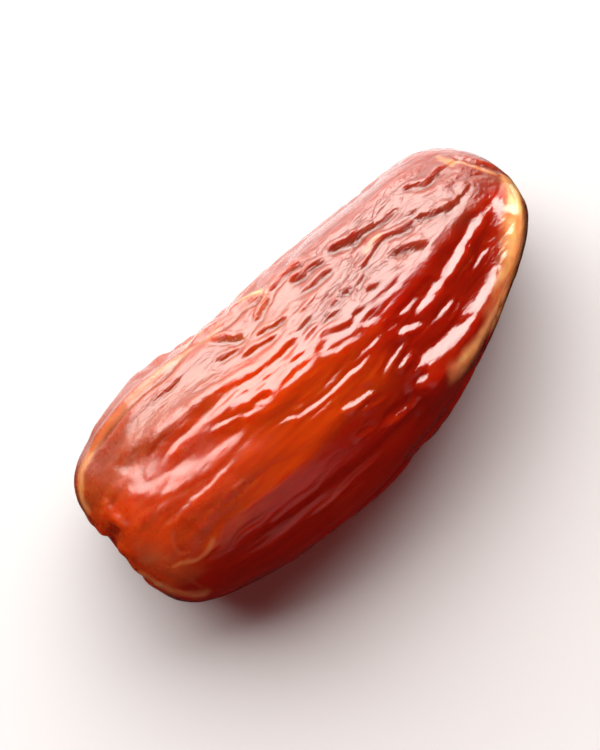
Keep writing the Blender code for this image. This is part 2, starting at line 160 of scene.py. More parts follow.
FINE_FOLDS = (
    # the crease along the far rim
    (-0.80, 0.36, (
        (-16.8, 6.3), (-16.0, 6.5), (-13.9, 6.9), (-11.7, 7.2), (-9.6, 7.2), (-8.1, 7.0),
        (-6.7, 7.0), (-4.6, 7.0),
    )),
    (-0.90, 0.34, ((-5.6, 7.05), (-3.9, 6.9), (-1.6, 6.5), (-0.5, 6.6), (1.0, 6.3), (2.4, 5.9))),
    (-0.85, 0.32, ((1.4, 6.1), (2.8, 6.0), (4.4, 6.0), (5.8, 5.5))),
    # two creases that run down from it
    (-0.95, 0.28, ((-4.0, 6.6), (-2.9, 5.75), (-2.2, 5.1), (-1.4, 4.4))),
    (-0.95, 0.26, ((-0.3, 4.7), (1.0, 5.3), (2.3, 6.05))),
    # dark creases of the sheen, from the middle to the tip
    (-0.90, 0.24, ((-3.1, 3.75), (-1.6, 3.6), (-0.4, 3.3), (0.5, 2.9))),
    (-0.90, 0.32, ((3.5, 5.5), (4.4, 5.2), (5.3, 4.7))),
    (-0.90, 0.28, ((4.9, 5.15), (5.8, 5.0), (6.8, 4.6))),
    (-0.90, 0.36, ((7.0, 5.1), (8.0, 4.85), (9.0, 4.45), (10.2, 4.2))),
    (-0.85, 0.22, ((8.6, 4.5), (10.2, 4.2), (12.0, 3.8), (13.8, 3.6))),
    (-0.85, 0.26, ((14.2, 4.9), (15.2, 4.2), (16.1, 3.65), (17.0, 3.6), (18.3, 3.5))),
    (-1.05, 0.20, ((5.9, 0.5), (6.6, 1.1), (7.4, 1.7), (8.7, 2.4), (10.3, 2.9))),
    (-1.05, 0.28, ((9.3, 2.7), (10.2, 2.95), (11.2, 2.8), (12.4, 2.35), (14.0, 2.25))),
    (-1.05, 0.34, ((13.4, 2.35), (14.2, 2.1), (15.0, 1.6), (15.9, 1.15), (16.8, 1.1))),
    (-0.95, 0.20, ((15.6, 1.2), (16.6, 1.1), (17.6, 1.15), (18.6, 1.1))),
    (-1.00, 0.42, ((10.2, 1.7), (11.1, 1.4), (12.1, 0.8), (13.4, 0.2))),
    # short marks among them
    (-0.80, 0.32, ((5.9, 2.5), (6.25, 2.1), (6.6, 1.6))),
    (-0.75, 0.28, ((7.2, 0.9), (7.7, 0.85), (8.2, 0.7))),
    (-0.40, 0.17, ((6.9, -0.8), (7.9, -0.85), (9.1, -0.9))),
    (-0.40, 0.17, ((6.8, 0.0), (8.4, 0.0), (10.2, 0.1))),
    (-0.60, 0.24, ((5.2, 0.4), (5.7, 0.25), (6.4, 0.2))),
    (-0.55, 0.22, ((5.3, -0.5), (6.0, -0.5), (6.9, -0.4))),
    (-0.55, 0.22, ((8.3, 3.35), (8.8, 3.3), (9.3, 3.2))),
    (-0.55, 0.24, ((1.0, 4.3), (1.25, 4.0), (1.5, 3.8))),
    (-0.60, 0.24, ((2.1, 4.0), (2.5, 3.8), (3.0, 3.75))),
    # thin wrinkles of the sheen
    (-0.90, 0.25, ((-5.4, 1.8), (-3.6, 1.45), (-1.8, 1.35), (-0.2, 1.4))),
    (-0.90, 0.24, ((0.0, 1.35), (1.8, 1.45), (3.8, 1.4), (5.6, 1.1))),
    (-0.85, 0.22, ((-1.0, 0.85), (0.4, 0.95), (1.4, 0.85))),
    (-0.90, 0.22, ((-3.0, 1.85), (-1.2, 1.8), (0.6, 1.9), (2.2, 1.85))),
    (-0.90, 0.22, ((2.6, 1.9), (4.0, 1.85), (5.6, 1.9))),
    (-0.95, 0.25, ((0.8, 2.9), (2.2, 3.1), (3.6, 3.0), (5.0, 3.3))),
    (-0.95, 0.23, ((-1.6, 4.2), (-0.4, 4.1), (0.8, 3.7), (2.0, 3.5), (3.4, 3.7))),
    (-0.85, 0.21, ((-4.6, 4.9), (-3.4, 4.6), (-2.2, 4.3))),
    (-0.80, 0.17, ((-0.9, 5.3), (-0.2, 5.6), (0.6, 5.8))),
    (-0.95, 0.23, ((3.4, 4.3), (4.6, 4.0), (5.8, 3.9), (7.0, 3.6))),
    (-0.75, 0.17, ((-7.4, 4.2), (-6.0, 4.0), (-4.8, 3.9))),
    (-0.75, 0.16, ((-9.6, 5.9), (-8.2, 5.8), (-6.8, 6.0))),
    (-0.45, 0.16, ((7.0, 0.3), (8.6, 0.7), (10.0, 0.6), (11.4, 0.2))),
    (-0.45, 0.16, ((8.0, 1.6), (9.2, 2.1), (10.4, 2.2), (11.8, 1.8), (13.2, 1.5))),
    (-0.45, 0.15, ((11.4, 0.3), (12.6, -0.1), (14.2, 0.0), (15.6, 0.3))),
    (-0.50, 0.18, ((13.6, 1.0), (14.8, 0.8), (16.0, 0.5))),
    (-0.45, 0.16, ((10.6, 3.5), (12.2, 3.2), (13.8, 3.0), (15.4, 2.6))),
    (-0.50, 0.18, ((16.4, 2.4), (17.2, 2.3), (18.0, 2.0))),
    (-0.40, 0.20, ((2.2, 4.6), (2.7, 4.0), (3.2, 3.8))),
    (-0.40, 0.22, ((13.0, 5.4), (14.0, 5.2), (14.8, 5.1))),
    # the crease along the rim at the tip
    (-0.95, 0.24, ((18.8, 4.0), (19.6, 2.8), (20.4, 1.4), (21.0, 0.2))),
    # dark hollows along the sheen's lower edge
    (-0.85, 0.32, ((-4.6, 1.1), (-3.8, 0.7), (-2.9, 0.3))),
    (-0.70, 0.21, ((-2.6, 0.3), (-1.0, 0.3), (1.1, 0.1))),
    (-0.85, 0.29, ((1.2, 0.0), (2.4, 0.5), (3.3, 0.6), (4.3, 0.1), (5.4, -0.2))),
    # the hollow inside the loose skin
    (-0.50, 0.30, ((7.0, -4.7), (8.8, -5.2), (10.3, -5.6), (11.3, -5.8), (12.6, -5.6))),
    # the dark line under the soft band
    (-0.40, 0.20, (
        (-14.4, 0.2), (-12.1, -0.4), (-10.3, -0.8), (-8.9, -0.9), (-6.7, -0.7), (-5.2, -1.0),
    )),
    # pale ridges of the back with the painted glow
    (0.46, 0.22, ((-12.8, 2.35), (-11.0, 2.4), (-8.9, 2.3), (-6.7, 2.1), (-4.1, 1.9))),
    (0.55, 0.20, ((-8.6, 1.4), (-7.2, 1.3), (-6.2, 0.9), (-5.3, 0.3), (-4.4, -0.1), (-3.6, -0.2))),
    (0.50, 0.18, ((1.2, -0.4), (3.0, -0.8), (5.3, -1.3))),
    # the doubled ridge of the middle
    (0.85, 0.18, (
        (-5.4, -1.2), (-4.1, -1.75), (-2.9, -2.2), (-1.6, -2.6), (0.9, -2.75), (2.75, -2.7),
        (5.2, -2.95),
    )),
    (0.55, 0.14, ((-3.7, -1.4), (-1.9, -1.9), (-0.4, -2.1), (2.3, -2.2))),
    # small glints of the near side
    (0.90, 0.26, ((-0.5, -4.0), (0.4, -4.4), (1.4, -4.6), (2.2, -4.8), (3.1, -5.2))),
    (0.75, 0.18, ((1.2, -4.1), (1.9, -4.3), (2.8, -4.7))),
    (0.70, 0.15, ((-0.8, -3.5), (-0.5, -3.9), (-0.1, -4.3))),
    (0.80, 0.20, ((3.1, -4.7), (4.4, -4.4), (5.9, -4.0), (7.2, -3.9))),
    (0.85, 0.24, ((4.7, -5.0), (5.6, -4.9), (6.7, -4.8))),
    (0.75, 0.25, ((9.1, -4.4), (10.5, -4.2), (11.9, -4.0))),
    (0.60, 0.16, ((13.6, -3.6), (15.0, -3.4), (16.4, -3.3))),
    (0.60, 0.14, ((12.6, -3.2), (13.8, -3.0), (15.2, -2.7))),
    (0.60, 0.14, ((6.4, -2.4), (7.6, -2.5), (9.0, -2.4))),
    (0.65, 0.15, ((2.6, -3.9), (3.8, -3.8), (5.2, -3.5))),
    (0.60, 0.14, ((5.0, -5.7), (5.9, -5.8), (6.8, -6.0))),
    (0.65, 0.15, ((-2.6, -3.0), (-1.2, -3.2), (0.6, -3.3))),
    (0.75, 0.17, ((0.6, -5.2), (1.8, -5.5), (3.2, -5.9))),
    (0.70, 0.16, ((6.9, -4.3), (8.2, -4.3), (9.6, -4.2))),
    (0.75, 0.18, ((7.4, -2.0), (8.6, -2.2), (10.2, -2.1))),
    (0.70, 0.16, ((3.0, -2.1), (4.4, -2.3), (5.8, -2.3))),
    (0.60, 0.15, ((9.8, -4.9), (11.0, -4.75), (12.4, -4.6))),
    (0.75, 0.32, ((4.9, -6.7), (5.6, -6.8), (6.4, -6.8))),
    (0.90, 0.32, ((1.0, -7.2), (2.7, -7.4), (4.9, -7.6))),
    (0.70, 0.18, ((-0.8, -6.4), (0.0, -6.7), (1.0, -7.0))),
    # streaks of the near side towards the stem end
    (0.34, 0.22, ((-12.8, -3.6), (-11.0, -3.4), (-8.9, -3.6), (-6.7, -3.9), (-4.9, -4.5))),
    (0.36, 0.22, ((-13.4, -6.0), (-11.8, -5.8), (-10.2, -6.1), (-8.4, -6.0))),
    (0.32, 0.20, ((-10.6, -6.8), (-8.6, -6.7), (-6.4, -7.0), (-4.2, -6.9))),
    (-0.40, 0.24, ((-13.0, -6.9), (-10.8, -7.3), (-8.2, -7.5), (-5.0, -7.7))),
    (0.30, 0.22, ((-8.4, -8.2), (-5.8, -8.5), (-3.0, -8.4), (0.2, -8.7))),
    (-0.36, 0.24, ((-4.6, -6.2), (-2.8, -6.4), (-1.4, -6.9))),
    # lines round the stem end
    (-0.50, 0.22, (
        (-16.6, -4.3), (-15.0, -5.0), (-13.3, -4.9), (-12.1, -4.5), (-11.0, -4.6), (-8.9, -5.0),
        (-6.0, -5.3),
    )),
    (0.36, 0.20, ((-16.4, -1.3), (-14.0, -1.4), (-11.0, -1.4), (-8.0, -1.5))),
    (0.40, 0.18, ((-15.2, -1.9), (-16.0, -2.6), (-16.2, -3.4), (-15.7, -4.1))),
    (0.34, 0.18, ((-17.6, -3.8), (-16.6, -4.2), (-15.6, -4.8), (-14.4, -4.8))),
    (0.30, 0.16, ((-17.2, -4.4), (-17.0, -5.6), (-16.7, -7.0))),
    (0.30, 0.40, ((-17.4, 3.6), (-17.6, 2.4), (-17.6, 1.2), (-17.3, 0.2))),
)

# A crease is cut steeper where the skin leans towards +Y and the light, so that it still shows there:
# its factor where the skin faces up, what a full lean adds to it, and the factor's limits.
CREASE_STEEPNESS = (0.55, 1.3)
CREASE_LIMITS = (0.4, 1.5)

# Folds on the flanks and the belly are drawn by a rule: mostly lengthwise, gently waving. The large
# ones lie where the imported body's do. Each fold has its own part of the angle, and sways a little.
FLANK_ANGLES = (math.radians(72.0), math.radians(288.0))
FLANK_REACH = (-15.0, 17.0)
FLANK_PART = (0.2, 0.8)
FLANK_SHARES = (0.0, 0.25, 0.5, 0.75, 1.0)
FLANK_SWAY = 0.11
LARGE_FLANK_FOLDS = {
    "count": 26,
    "seed": 7,
    "length": (9.0, 22.0),
    "depth": (0.18, 0.42),
    "width": (0.7, 1.0),
}
FINE_FLANK_FOLDS = {
    "count": 90,
    "seed": 11,
    "length": (3.0, 10.0),
    "depth": (0.08, 0.22),
    "width": (0.26, 0.42),
}

# A fold narrows to a point towards its ends.
POINTED_SHARE = 0.22
BLUNTEST = 0.30

# How far a stroke reaches to either side, in half widths, and the share of its length that it fades over.
SWELLING_REACH = 3.2
TURN_REACH = 4.0
AMBER_REACH = 3.0
TAPER = 0.16
AMBER_TAPER = 0.1
# How far a swelling dips beside its middle.
SHOULDER = 0.38

# The stem scar is a round dimple in the blunt end, with a low rim, its place and width in radii of the
# scar, and with folds that run out of it.
SCAR_CENTRE = (-0.4, 7.6)
SCAR_RADIUS = 2.0
SCAR_DEPTH = 1.0
SCAR_RIM = 0.2
SCAR_RIM_PLACE = 1.55
SCAR_RIM_WIDTH = 0.4
SCAR_FADE_X = (-15.0, -17.5)
PUCKERS = 7
PUCKER_DEPTH = 0.15
PUCKER_WIDTH = 0.75
PUCKER_START = 0.6 * SCAR_RADIUS
PUCKER_REACH = (3.6, 5.0)
PUCKER_UNEVEN = 0.25
PUCKER_POINTS = 8
PUCKER_SEED = 3

# The flat spot underneath has no folds, which begin over this height.
SPOT_FADE_Z = (0.15, 1.4)
# A place outside the date, from which a ray finds its skin.
OUTSIDE = 40.0

# The skin between the folds: a low ripple stretched along the date, coarse to fine. Each is its
# height, its size along the date and its size across it.
RIPPLES = (
    (0.07, 5.2, 1.9),
    (0.022, 3.0, 0.70),
    (0.012, 1.2, 0.34),
)
# How rounded the bottoms of the ripple's valleys are.
RIPPLE_ROUNDING = 0.06

# A network of fine creases: depth, half width, its size along the date and across it, and its place
# in the noise. It is faint towards the stem end, and the far side there is smooth.
NETWORKS = (
    (0.10, 0.26, 6.5, 1.9, 4.1),
    (0.07, 0.20, 5.0, 1.2, 11.3),
    (0.04, 0.15, 3.2, 0.8, 23.9),
)
STEM_NETWORK = 0.45
STEM_NETWORK_X = (0.0, -8.0)
STEM_NETWORK_Y = (3.0, 4.2)
# The network's lines bend by this share of its size, and it comes and goes in patches that are larger
# by a factor. Both have a place of their own in the noise.
NETWORK_BEND = 0.35
NETWORK_BEND_SHIFT = 31.7
PATCH_FACTOR = 2.2
PATCH_RANGE = (-0.15, 0.35)
PATCH_SHIFT = 57.3

# How far a fold's route strays from a smooth line, and the size of the stray along and across. Most of
# it is left out along the far rim, where the crease is smooth.
WAVERS = (
    (0.22, 1.9, 0.8),
    (0.16, 0.60, 0.40),
)
RIM_CALM = 0.85
RIM_CALM_Y = (5.6, 6.6)

# The shares below grow from 0 at the first place to 1 at the second, along X, across Y or up Z. A drift
# makes their borders uneven: its size along and across, and how far it moves a border.
# The painted glow: orange is painted on the back as if light came through the flesh, fading to a painted
# shade of darker red down the near flank and the belly; along X it is the flesh's own tone.
GLOW_X = (8.0, -1.0)
GLOW_Y = (-6.2, -3.8)
GLOW_Z = (2.0, 8.0)
GLOW_DRIFT = (6.0, 2.5)
GLOW_DRIFT_X = 2.5

SOFT_STEM_X = (-3.0, -10.0)
SOFT_STEM_Y = (-6.5, -3.5)
SOFT_NEAR_X = (3.0, -3.0)
SOFT_NEAR_Y = (-4.0, -6.0)
SOFT_NEAR = 0.4
SOFT_DRIFT = (3.0, 1.5)
SOFT_DRIFT_X = 1.5

# The border of the far side lies at the first y on the stem half and at the second on the tip half.
FAR_BORDER = (3.0, -0.2)
FAR_BORDER_X = (-2.0, 6.0)
FAR_BLEND = (-1.2, 1.2)
FAR_DRIFT = (3.0, 1.2)
FAR_DRIFT_Y = 0.8

LINED_TIP_X = (19.0, 14.5)
LINED_STEM_X = (-14.0, -9.0)
LINED_LOSS = 0.45

AMBER_Z = (5.5, 8.5)
AMBER_DRIFT = (1.6, 0.9)
AMBER_UNEVEN = 0.35
AMBER_DRIFT_Z = 1.5

# Loose, thin skin that shows amber: strength, half width and route.
AMBER_STROKES = (
    # the loose skin along the near edge at the tip
    (0.85, 0.85, ((7.0, -7.9), (8.5, -8.1), (10.0, -7.9), (12.5, -7.2), (14.4, -6.5), (16.2, -5.6))),
    (1.00, 1.60, (
        (11.6, -7.6), (13.8, -6.9), (15.5, -5.9), (17.2, -4.9), (18.8, -3.7), (20.2, -2.2),
        (21.0, -0.9), (21.1, 0.2),
    )),
    # the far rim, and thin skin beside its creases
    (0.45, 0.22, ((18.3, 4.0), (19.2, 2.8), (20.0, 1.3), (20.6, 0.1))),
    (0.45, 0.30, ((-5.6, 7.2), (-4.6, 7.3), (-3.4, 7.0))),
    (0.60, 0.24, ((-0.2, 6.8), (0.8, 6.6), (2.0, 6.2))),
    (0.30, 0.22, ((-16.8, 6.3), (-13.9, 6.9), (-11.7, 7.2), (-9.6, 7.2), (-6.7, 7.0), (-1.6, 6.5))),
    (0.12, 0.24, ((-4.2, 6.9), (-2.8, 5.7), (-2.0, 5.0), (-1.4, 4.4))),
    (0.12, 0.26, ((0.0, 4.9), (0.9, 5.3), (1.5, 5.7), (2.2, 6.1))),
    (0.30, 0.18, ((9.0, 2.9), (10.0, 3.1), (11.2, 3.1))),
    (0.40, 0.25, ((18.2, 4.5), (18.4, 3.8), (18.7, 3.0))),
    # the edge of the stem end and the lines round it
    (0.42, 0.60, ((-19.2, 3.0), (-18.8, 4.3), (-18.0, 5.4), (-17.0, 6.1), (-15.4, 6.5))),
    (0.45, 0.60, ((-19.4, -2.2), (-19.2, -3.8), (-18.7, -5.2), (-17.9, -6.4), (-16.6, -7.4))),
    (0.08, 1.30, ((-18.8, -1.2), (-17.8, -2.6), (-17.2, -4.2), (-16.8, -6.0))),
    (0.14, 0.50, ((-18.4, -2.0), (-17.5, -2.8), (-16.9, -3.4))),
    (0.22, 0.18, ((-17.6, -3.8), (-16.6, -4.2), (-15.6, -4.8), (-14.4, -4.8), (-13.4, -4.4))),
    (0.06, 0.16, ((-15.2, -1.9), (-16.0, -2.6), (-16.2, -3.4), (-15.7, -4.1))),
    (0.08, 0.14, ((-17.2, -4.4), (-17.1, -5.6), (-16.8, -7.0))),
)


def smooth_step(value, low, high):
    """Zero up to low and one from high on, with a smooth change between. High may be the lower one."""
    share = np.clip((value - low) / (high - low), 0.0, 1.0)
    return share * share * (3.0 - 2.0 * share)


def direction_at(azimuth, height):
    """The direction at an azimuth from +X, anticlockwise from above, and an angle above the floor."""
    level = math.cos(height)
    return Vector((level * math.cos(azimuth), level * math.sin(azimuth), math.sin(height)))


def select_none():
    """Object mode with nothing selected."""
    if bpy.context.mode != "OBJECT":
        bpy.ops.object.mode_set(mode="OBJECT")
    bpy.ops.object.select_all(action="DESELECT")


def select_where(date, test):
    """Leaves the date in edit mode with only the vertices selected whose place passes the test."""
    bpy.ops.object.mode_set(mode="OBJECT")
    mesh = date.data
    mesh.vertices.foreach_set("select", [test(v.co) for v in mesh.vertices])
    mesh.edges.foreach_set("select", np.zeros(len(mesh.edges), bool))
    mesh.polygons.foreach_set("select", np.zeros(len(mesh.polygons), bool))
    bpy.ops.object.mode_set(mode="EDIT")


def shape_ring(date, place, middle, wide, high):
    """Moves one ring of the sphere to a section: its middle there, its half width and half height."""
    select_where(date, lambda at: abs(at.x - place) < CLOSE)
    bpy.ops.transform.resize(value=(1.0, wide, high), center_override=(place, 0.0, 0.0))
    bpy.ops.transform.translate(value=(middle[0] - place, middle[1], middle[2]))


def add_body(levels):
    """The date's smooth body: a UV sphere lying along X, its rings set to the sections and subdivided."""
    select_none()
    bands = len(SECTIONS) + 1
    radius = (TIP_POLE[0] - STEM_POLE[0]) * MM
    bpy.ops.mesh.primitive_uv_sphere_add(
        segments=SEGMENTS, ring_count=bands, radius=radius, location=(0, 0, 0), rotation=(0, math.pi / 2, 0)
    )
    date = bpy.context.active_object
    date.name = "date_skin_surface"
    bpy.ops.object.transform_apply(location=False, rotation=True, scale=False)
    bpy.ops.object.mode_set(mode="EDIT")
    bpy.ops.mesh.select_mode(type="VERT")
    for band, (x, far, near, back, belly) in enumerate(reversed(SECTIONS), start=1):
        turn = math.pi * band / bands
        place = radius * math.cos(turn)
        round_radius = radius * math.sin(turn) / MM
        middle = Vector((x, (far + near) / 2, (back + belly) / 2)) * MM
        wide = (far - near) / 2 * CAGE_GROWTH / round_radius
        high = (back - belly) / 2 * CAGE_GROWTH / round_radius
        shape_ring(date, place, middle, wide, high)
    shape_ring(date, radius, Vector(TIP_POLE) * MM, 1.0, 1.0)
    shape_ring(date, -radius, Vector(STEM_POLE) * MM, 1.0, 1.0)
    bpy.ops.object.mode_set(mode="OBJECT")
    rounding = date.modifiers.new("rounding", "SUBSURF")
    rounding.levels = levels
    rounding.render_levels = levels
    bpy.ops.object.modifier_apply(modifier=rounding.name)
    return date


def curve_through(points, steps=8):
    """Points on a smooth Catmull-Rom curve through a few points."""
    given = [Vector(p) for p in points]
    ends = [2 * given[0] - given[1], *given, 2 * given[-1] - given[-2]]
    curve = []
    for a, b, c, d in zip(ends, ends[1:], ends[2:], ends[3:]):
        for step in range(steps):
            t = step / steps
            bend = (2 * a - 5 * b + 4 * c - d) * t**2 + (3 * b - a - 3 * c + d) * t**3
            curve.append(0.5 * (2 * b + (c - a) * t + bend))
    curve.append(given[-1])
    return curve


def axis_at(x):
    """The middle of the date's section at x."""
    places = [s[0] for s in SECTIONS[1:]]
    y = np.interp(x, places, [(s[1] + s[2]) / 2 for s in SECTIONS[1:]])
    z = np.interp(x, places, [(s[3] + s[4]) / 2 for s in SECTIONS[1:]])
    return Vector((x, float(y), float(z)))


def on_back(surface, route):
    """The route as seen from above, laid on the surface."""
    down = Vector((0, 0, -1))
    found = [surface.ray_cast(Vector((x, y, OUTSIDE)), down)[0] for x, y in curve_through(route)]
    return [p for p in found if p is not None]


def on_flank(surface, route):
    """A route of (x, angle from straight up) laid on the surface."""
    found = []
    for x, turn in curve_through(route):
        outwards = Vector((0, math.sin(turn), math.cos(turn)))
        found.append(surface.ray_cast(axis_at(x), outwards)[0])
    return [p for p in found if p is not None]


def beside(surface, route):
    """A route of points near the surface, laid on it."""
    return [surface.find_nearest(point)[0] for point in curve_through(route)]


def nearness(points, outwards, line, reach):
    """For the points within reach of the line: which they are, how far off they are, positive on its
    left as seen from outside, and their place along it."""
    line = np.array(line)
    low = line.min(axis=0) - reach
    high = line.max(axis=0) + reach
    chosen = np.flatnonzero(((points > low) & (points < high)).all(axis=1))
    near = points[chosen]
    up = outwards[chosen]
    steps = line[1:] - line[:-1]
    lengths = np.linalg.norm(steps, axis=1)
    begins = np.concatenate([[0.0], np.cumsum(lengths)])
    gap = np.full(len(near), np.inf)
    side = np.ones(len(near))
    place = np.zeros(len(near))
    for start, step, length, begin in zip(line, steps, lengths, begins):
        share = np.clip((near - start) @ step / length**2, 0.0, 1.0)
        off = near - start - share[:, None] * step
        distance = np.linalg.norm(off, axis=1)
        closer = distance < gap
        left = np.einsum("ij,ij->i", np.cross(step, off), up)
        gap = np.where(closer, distance, gap)
        side = np.where(closer, np.sign(left), side)
        place = np.where(closer, (begin + share * length) / begins[-1], place)
    return chosen, gap * side, place


def taper(place, share=TAPER):
    """One along the middle of a route, falling to zero at its two ends."""
    return smooth_step(place, 0.0, share) * smooth_step(1.0 - place, 0.0, share)


def add_swelling(height, points, outwards, line, high, width, shoulder=0.0):
    """Raises the skin along the line, or presses it in, with a rim beside it, fading at its ends."""
    chosen, off, place = nearness(points, outwards, line, SWELLING_REACH * width)
    spread = (off / width) ** 2
    height[chosen] += high * (1.0 - shoulder * spread) * np.exp(-spread) * taper(place)


def away_from_light(outwards):
    """How much steeper a crease is cut where the skin faces the light."""
    level, leaning = CREASE_STEEPNESS
    return np.clip(level + leaning * outwards[:, 1], *CREASE_LIMITS)


def add_turn(height, points, outwards, line, slope, width, waver):
    """Turns the skin along the line by a slope, and back beside it, in a stroke with pointed ends."""
    chosen, off, place = nearness(points, outwards, line, TURN_REACH * width)
    along = taper(place, POINTED_SHARE)
    local = width * (BLUNTEST + (1.0 - BLUNTEST) * along)
    share = (off + waver[chosen]) / local
    if slope < 0.0:
        slope = slope * away_from_light(outwards[chosen])
    height[chosen] -= slope * local * share * np.exp(-share * share / 2) * np.sqrt(along)


def flank_routes(rule):
    """Routes of the folds on the flanks and the belly, drawn with a fixed seed."""
    draw = np.random.default_rng(rule["seed"])
    low, high = FLANK_ANGLES
    first, last = FLANK_REACH
    for number in range(rule["count"]):
        length = draw.uniform(*rule["length"])
        middle = draw.uniform(first + length / 2, last - length / 2)
        turn = low + (high - low) * (number + draw.uniform(*FLANK_PART)) / rule["count"]
        depth = draw.uniform(*rule["depth"])
        width = draw.uniform(*rule["width"])
        sways = draw.uniform(-FLANK_SWAY, FLANK_SWAY, len(FLANK_SHARES))
        route = [(middle + length * (share - 0.5), turn + sway) for share, sway in zip(FLANK_SHARES, sways)]
        yield depth, width, route


def pucker_lines(surface):
    """Short folds that run out of the stem scar, over the end's rounded edge."""
    draw = np.random.default_rng(PUCKER_SEED)
    for number in range(PUCKERS):
        turn = 2 * math.pi * (number + draw.uniform(-PUCKER_UNEVEN, PUCKER_UNEVEN)) / PUCKERS
        reach = draw.uniform(*PUCKER_REACH)
        line = []
        for out in np.linspace(PUCKER_START, reach, PUCKER_POINTS):
            y = SCAR_CENTRE[0] + out * math.sin(turn)
            z = SCAR_CENTRE[1] + out * math.cos(turn)
            line.append(surface.ray_cast(Vector((-OUTSIDE, y, z)), Vector((1, 0, 0)))[0])
        yield [p for p in line if p is not None]


def scar_height(points):
    """The dimple of the stem scar and the low rim round it."""
    y, z = SCAR_CENTRE
    out = np.hypot(points[:, 1] - y, points[:, 2] - z) / SCAR_RADIUS
    dimple = -SCAR_DEPTH * np.exp(-(out**4))
    rim = SCAR_RIM * np.exp(-(((out - SCAR_RIM_PLACE) / SCAR_RIM_WIDTH) ** 2))
    return (dimple + rim) * smooth_step(points[:, 0], *SCAR_FADE_X)


def noise_at(points, along, across, shift=0.0):
    """Smooth noise from about -1 to 1, of one size along the date and another across it."""
    places = points / (along, across, across) + shift
    return np.array([noise.noise(Vector(place)) for place in places])


def ripple_height(points, high, along, across):
    """A low lengthwise ripple with narrow valleys."""
    return high * ((noise_at(points, along, across) ** 2 + RIPPLE_ROUNDING**2) ** 0.25 - 0.5)


def network_depth(points, depth, width, along, across, shift):
    """Branching creases of a half width, where a noise changes its sign, that come and go."""
    bend = NETWORK_BEND * across * noise_at(points, along, across, shift + NETWORK_BEND_SHIFT)
    field = noise_at(points + bend[:, None], along, across, shift)
    patches = noise_at(points, PATCH_FACTOR * along, PATCH_FACTOR * across, shift + PATCH_SHIFT)
    present = smooth_step(patches, *PATCH_RANGE)
    return depth * present * np.exp(-((field * across / width) ** 2))


def lifted(points, outwards, surface):
    """How far each point is lifted; straight up, which leaves the outline from above as it is."""
    lift = np.zeros(len(points))
    for high, width, route in LIFTS:
        add_swelling(lift, points, outwards, on_back(surface, route), high, width)
    return lift * smooth_step(points[:, 2], *LIFT_FADE_Z)


def network_strength(points):
    """How plain the network of creases is: full at the tip, none on the smooth far side at the stem end."""
    stem = smooth_step(points[:, 0], *STEM_NETWORK_X)
    far = smooth_step(points[:, 1], *STEM_NETWORK_Y)
    return 1.0 - stem * (1.0 - STEM_NETWORK * (1.0 - far))


def add_rule_folds(height, points, outwards, surface, settings):
    """The folds of the flanks and the belly, and those that run out of the stem scar."""
    for rule in (LARGE_FLANK_FOLDS, FINE_FLANK_FOLDS):
        for depth, width, route in flank_routes(rule):
            line = on_flank(surface, route)
            add_swelling(height, points, outwards, line, -depth * settings.flank_folds, width, SHOULDER)
    for line in pucker_lines(surface):
        add_swelling(height, points, outwards, line, -PUCKER_DEPTH, PUCKER_WIDTH, SHOULDER)


def add_traced_folds(height, points, outwards, surface, settings):
    """The folds of the back, which turn the skin along their traced routes."""
    waver = sum(far * noise_at(points, along, across) for far, along, across in WAVERS)
    waver *= 1.0 - RIM_CALM * smooth_step(points[:, 1], *RIM_CALM_Y)
    for folds, strength in ((BROAD_FOLDS, settings.broad_folds), (FINE_FOLDS, settings.fine_folds)):
        for slope, width, route in folds:
            add_turn(height, points, outwards, on_back(surface, route), slope * strength, width, waver)


def folded(points, outwards, surface, settings):
    """The points after every fold, ripple and pucker, and how high each was raised."""
    height = scar_height(points)
    for high, along, across in RIPPLES:
        height += ripple_height(points, high, along, across)
    strength = network_strength(points) * away_from_light(outwards) * settings.fine_folds
    for depth, width, along, across, shift in NETWORKS:
        height -= strength * network_depth(points, depth, width, along, across, shift)
    for high, width, route in SWELLINGS:
        add_swelling(height, points, outwards, on_back(surface, route), high, width)
    high, width, route = END_NOTCH
    add_swelling(height, points, outwards, beside(surface, route), high, width, SHOULDER)
    add_rule_folds(height, points, outwards, surface, settings)
    add_traced_folds(height, points, outwards, surface, settings)
    height *= smooth_step(points[:, 2], *SPOT_FADE_Z)
    moved = points + outwards * height[:, None]
    moved[:, 2] += lifted(points, outwards, surface)
    moved[:, 2] = np.maximum(moved[:, 2], 0.0)
    return moved, height


def tone_and_painted_glow_share(points):
    """Tone and painted light: how orange the flesh is painted, as if lit through from above. It is most on
    the back of the stem half, and fades down the near flank and the belly as painted shade; the stem half
    against the tip half is the flesh's own tone.
    """
    drift = noise_at(points, *GLOW_DRIFT)
    along = smooth_step(points[:, 0] - GLOW_DRIFT_X * drift, *GLOW_X)
    across = smooth_step(points[:, 1] + drift, *GLOW_Y)
    return along * across * smooth_step(points[:, 2], *GLOW_Z)


def soft_share(points):
    """How soft the skin's shine is: most at the stem end, and less on the near flank down to the tip."""
    drift = noise_at(points, *SOFT_DRIFT)
    stem = smooth_step(points[:, 0] - SOFT_DRIFT_X * drift, *SOFT_STEM_X)
    stem *= smooth_step(points[:, 1], *SOFT_STEM_Y)
    near = smooth_step(points[:, 1] - drift, *SOFT_NEAR_Y) * smooth_step(points[:, 0], *SOFT_NEAR_X)
    return np.maximum(stem, SOFT_NEAR * near)


def far_side_share(points):
    """How far a point is onto the far side, whose border lies nearer the middle towards the tip."""
    stem_half, tip_half = FAR_BORDER
    border = stem_half + (tip_half - stem_half) * smooth_step(points[:, 0], *FAR_BORDER_X)
    return smooth_step(points[:, 1] - border + FAR_DRIFT_Y * noise_at(points, *FAR_DRIFT), *FAR_BLEND)


def lined_share(points):
    """How plain the hairlines are: most on the far side of the tip half, few on the back with the painted
    glow.
    """
    share = far_side_share(points) * (1.0 - LINED_LOSS * tone_and_painted_glow_share(points))
    return share * smooth_step(points[:, 0], *LINED_TIP_X) * smooth_step(points[:, 0], *LINED_STEM_X)


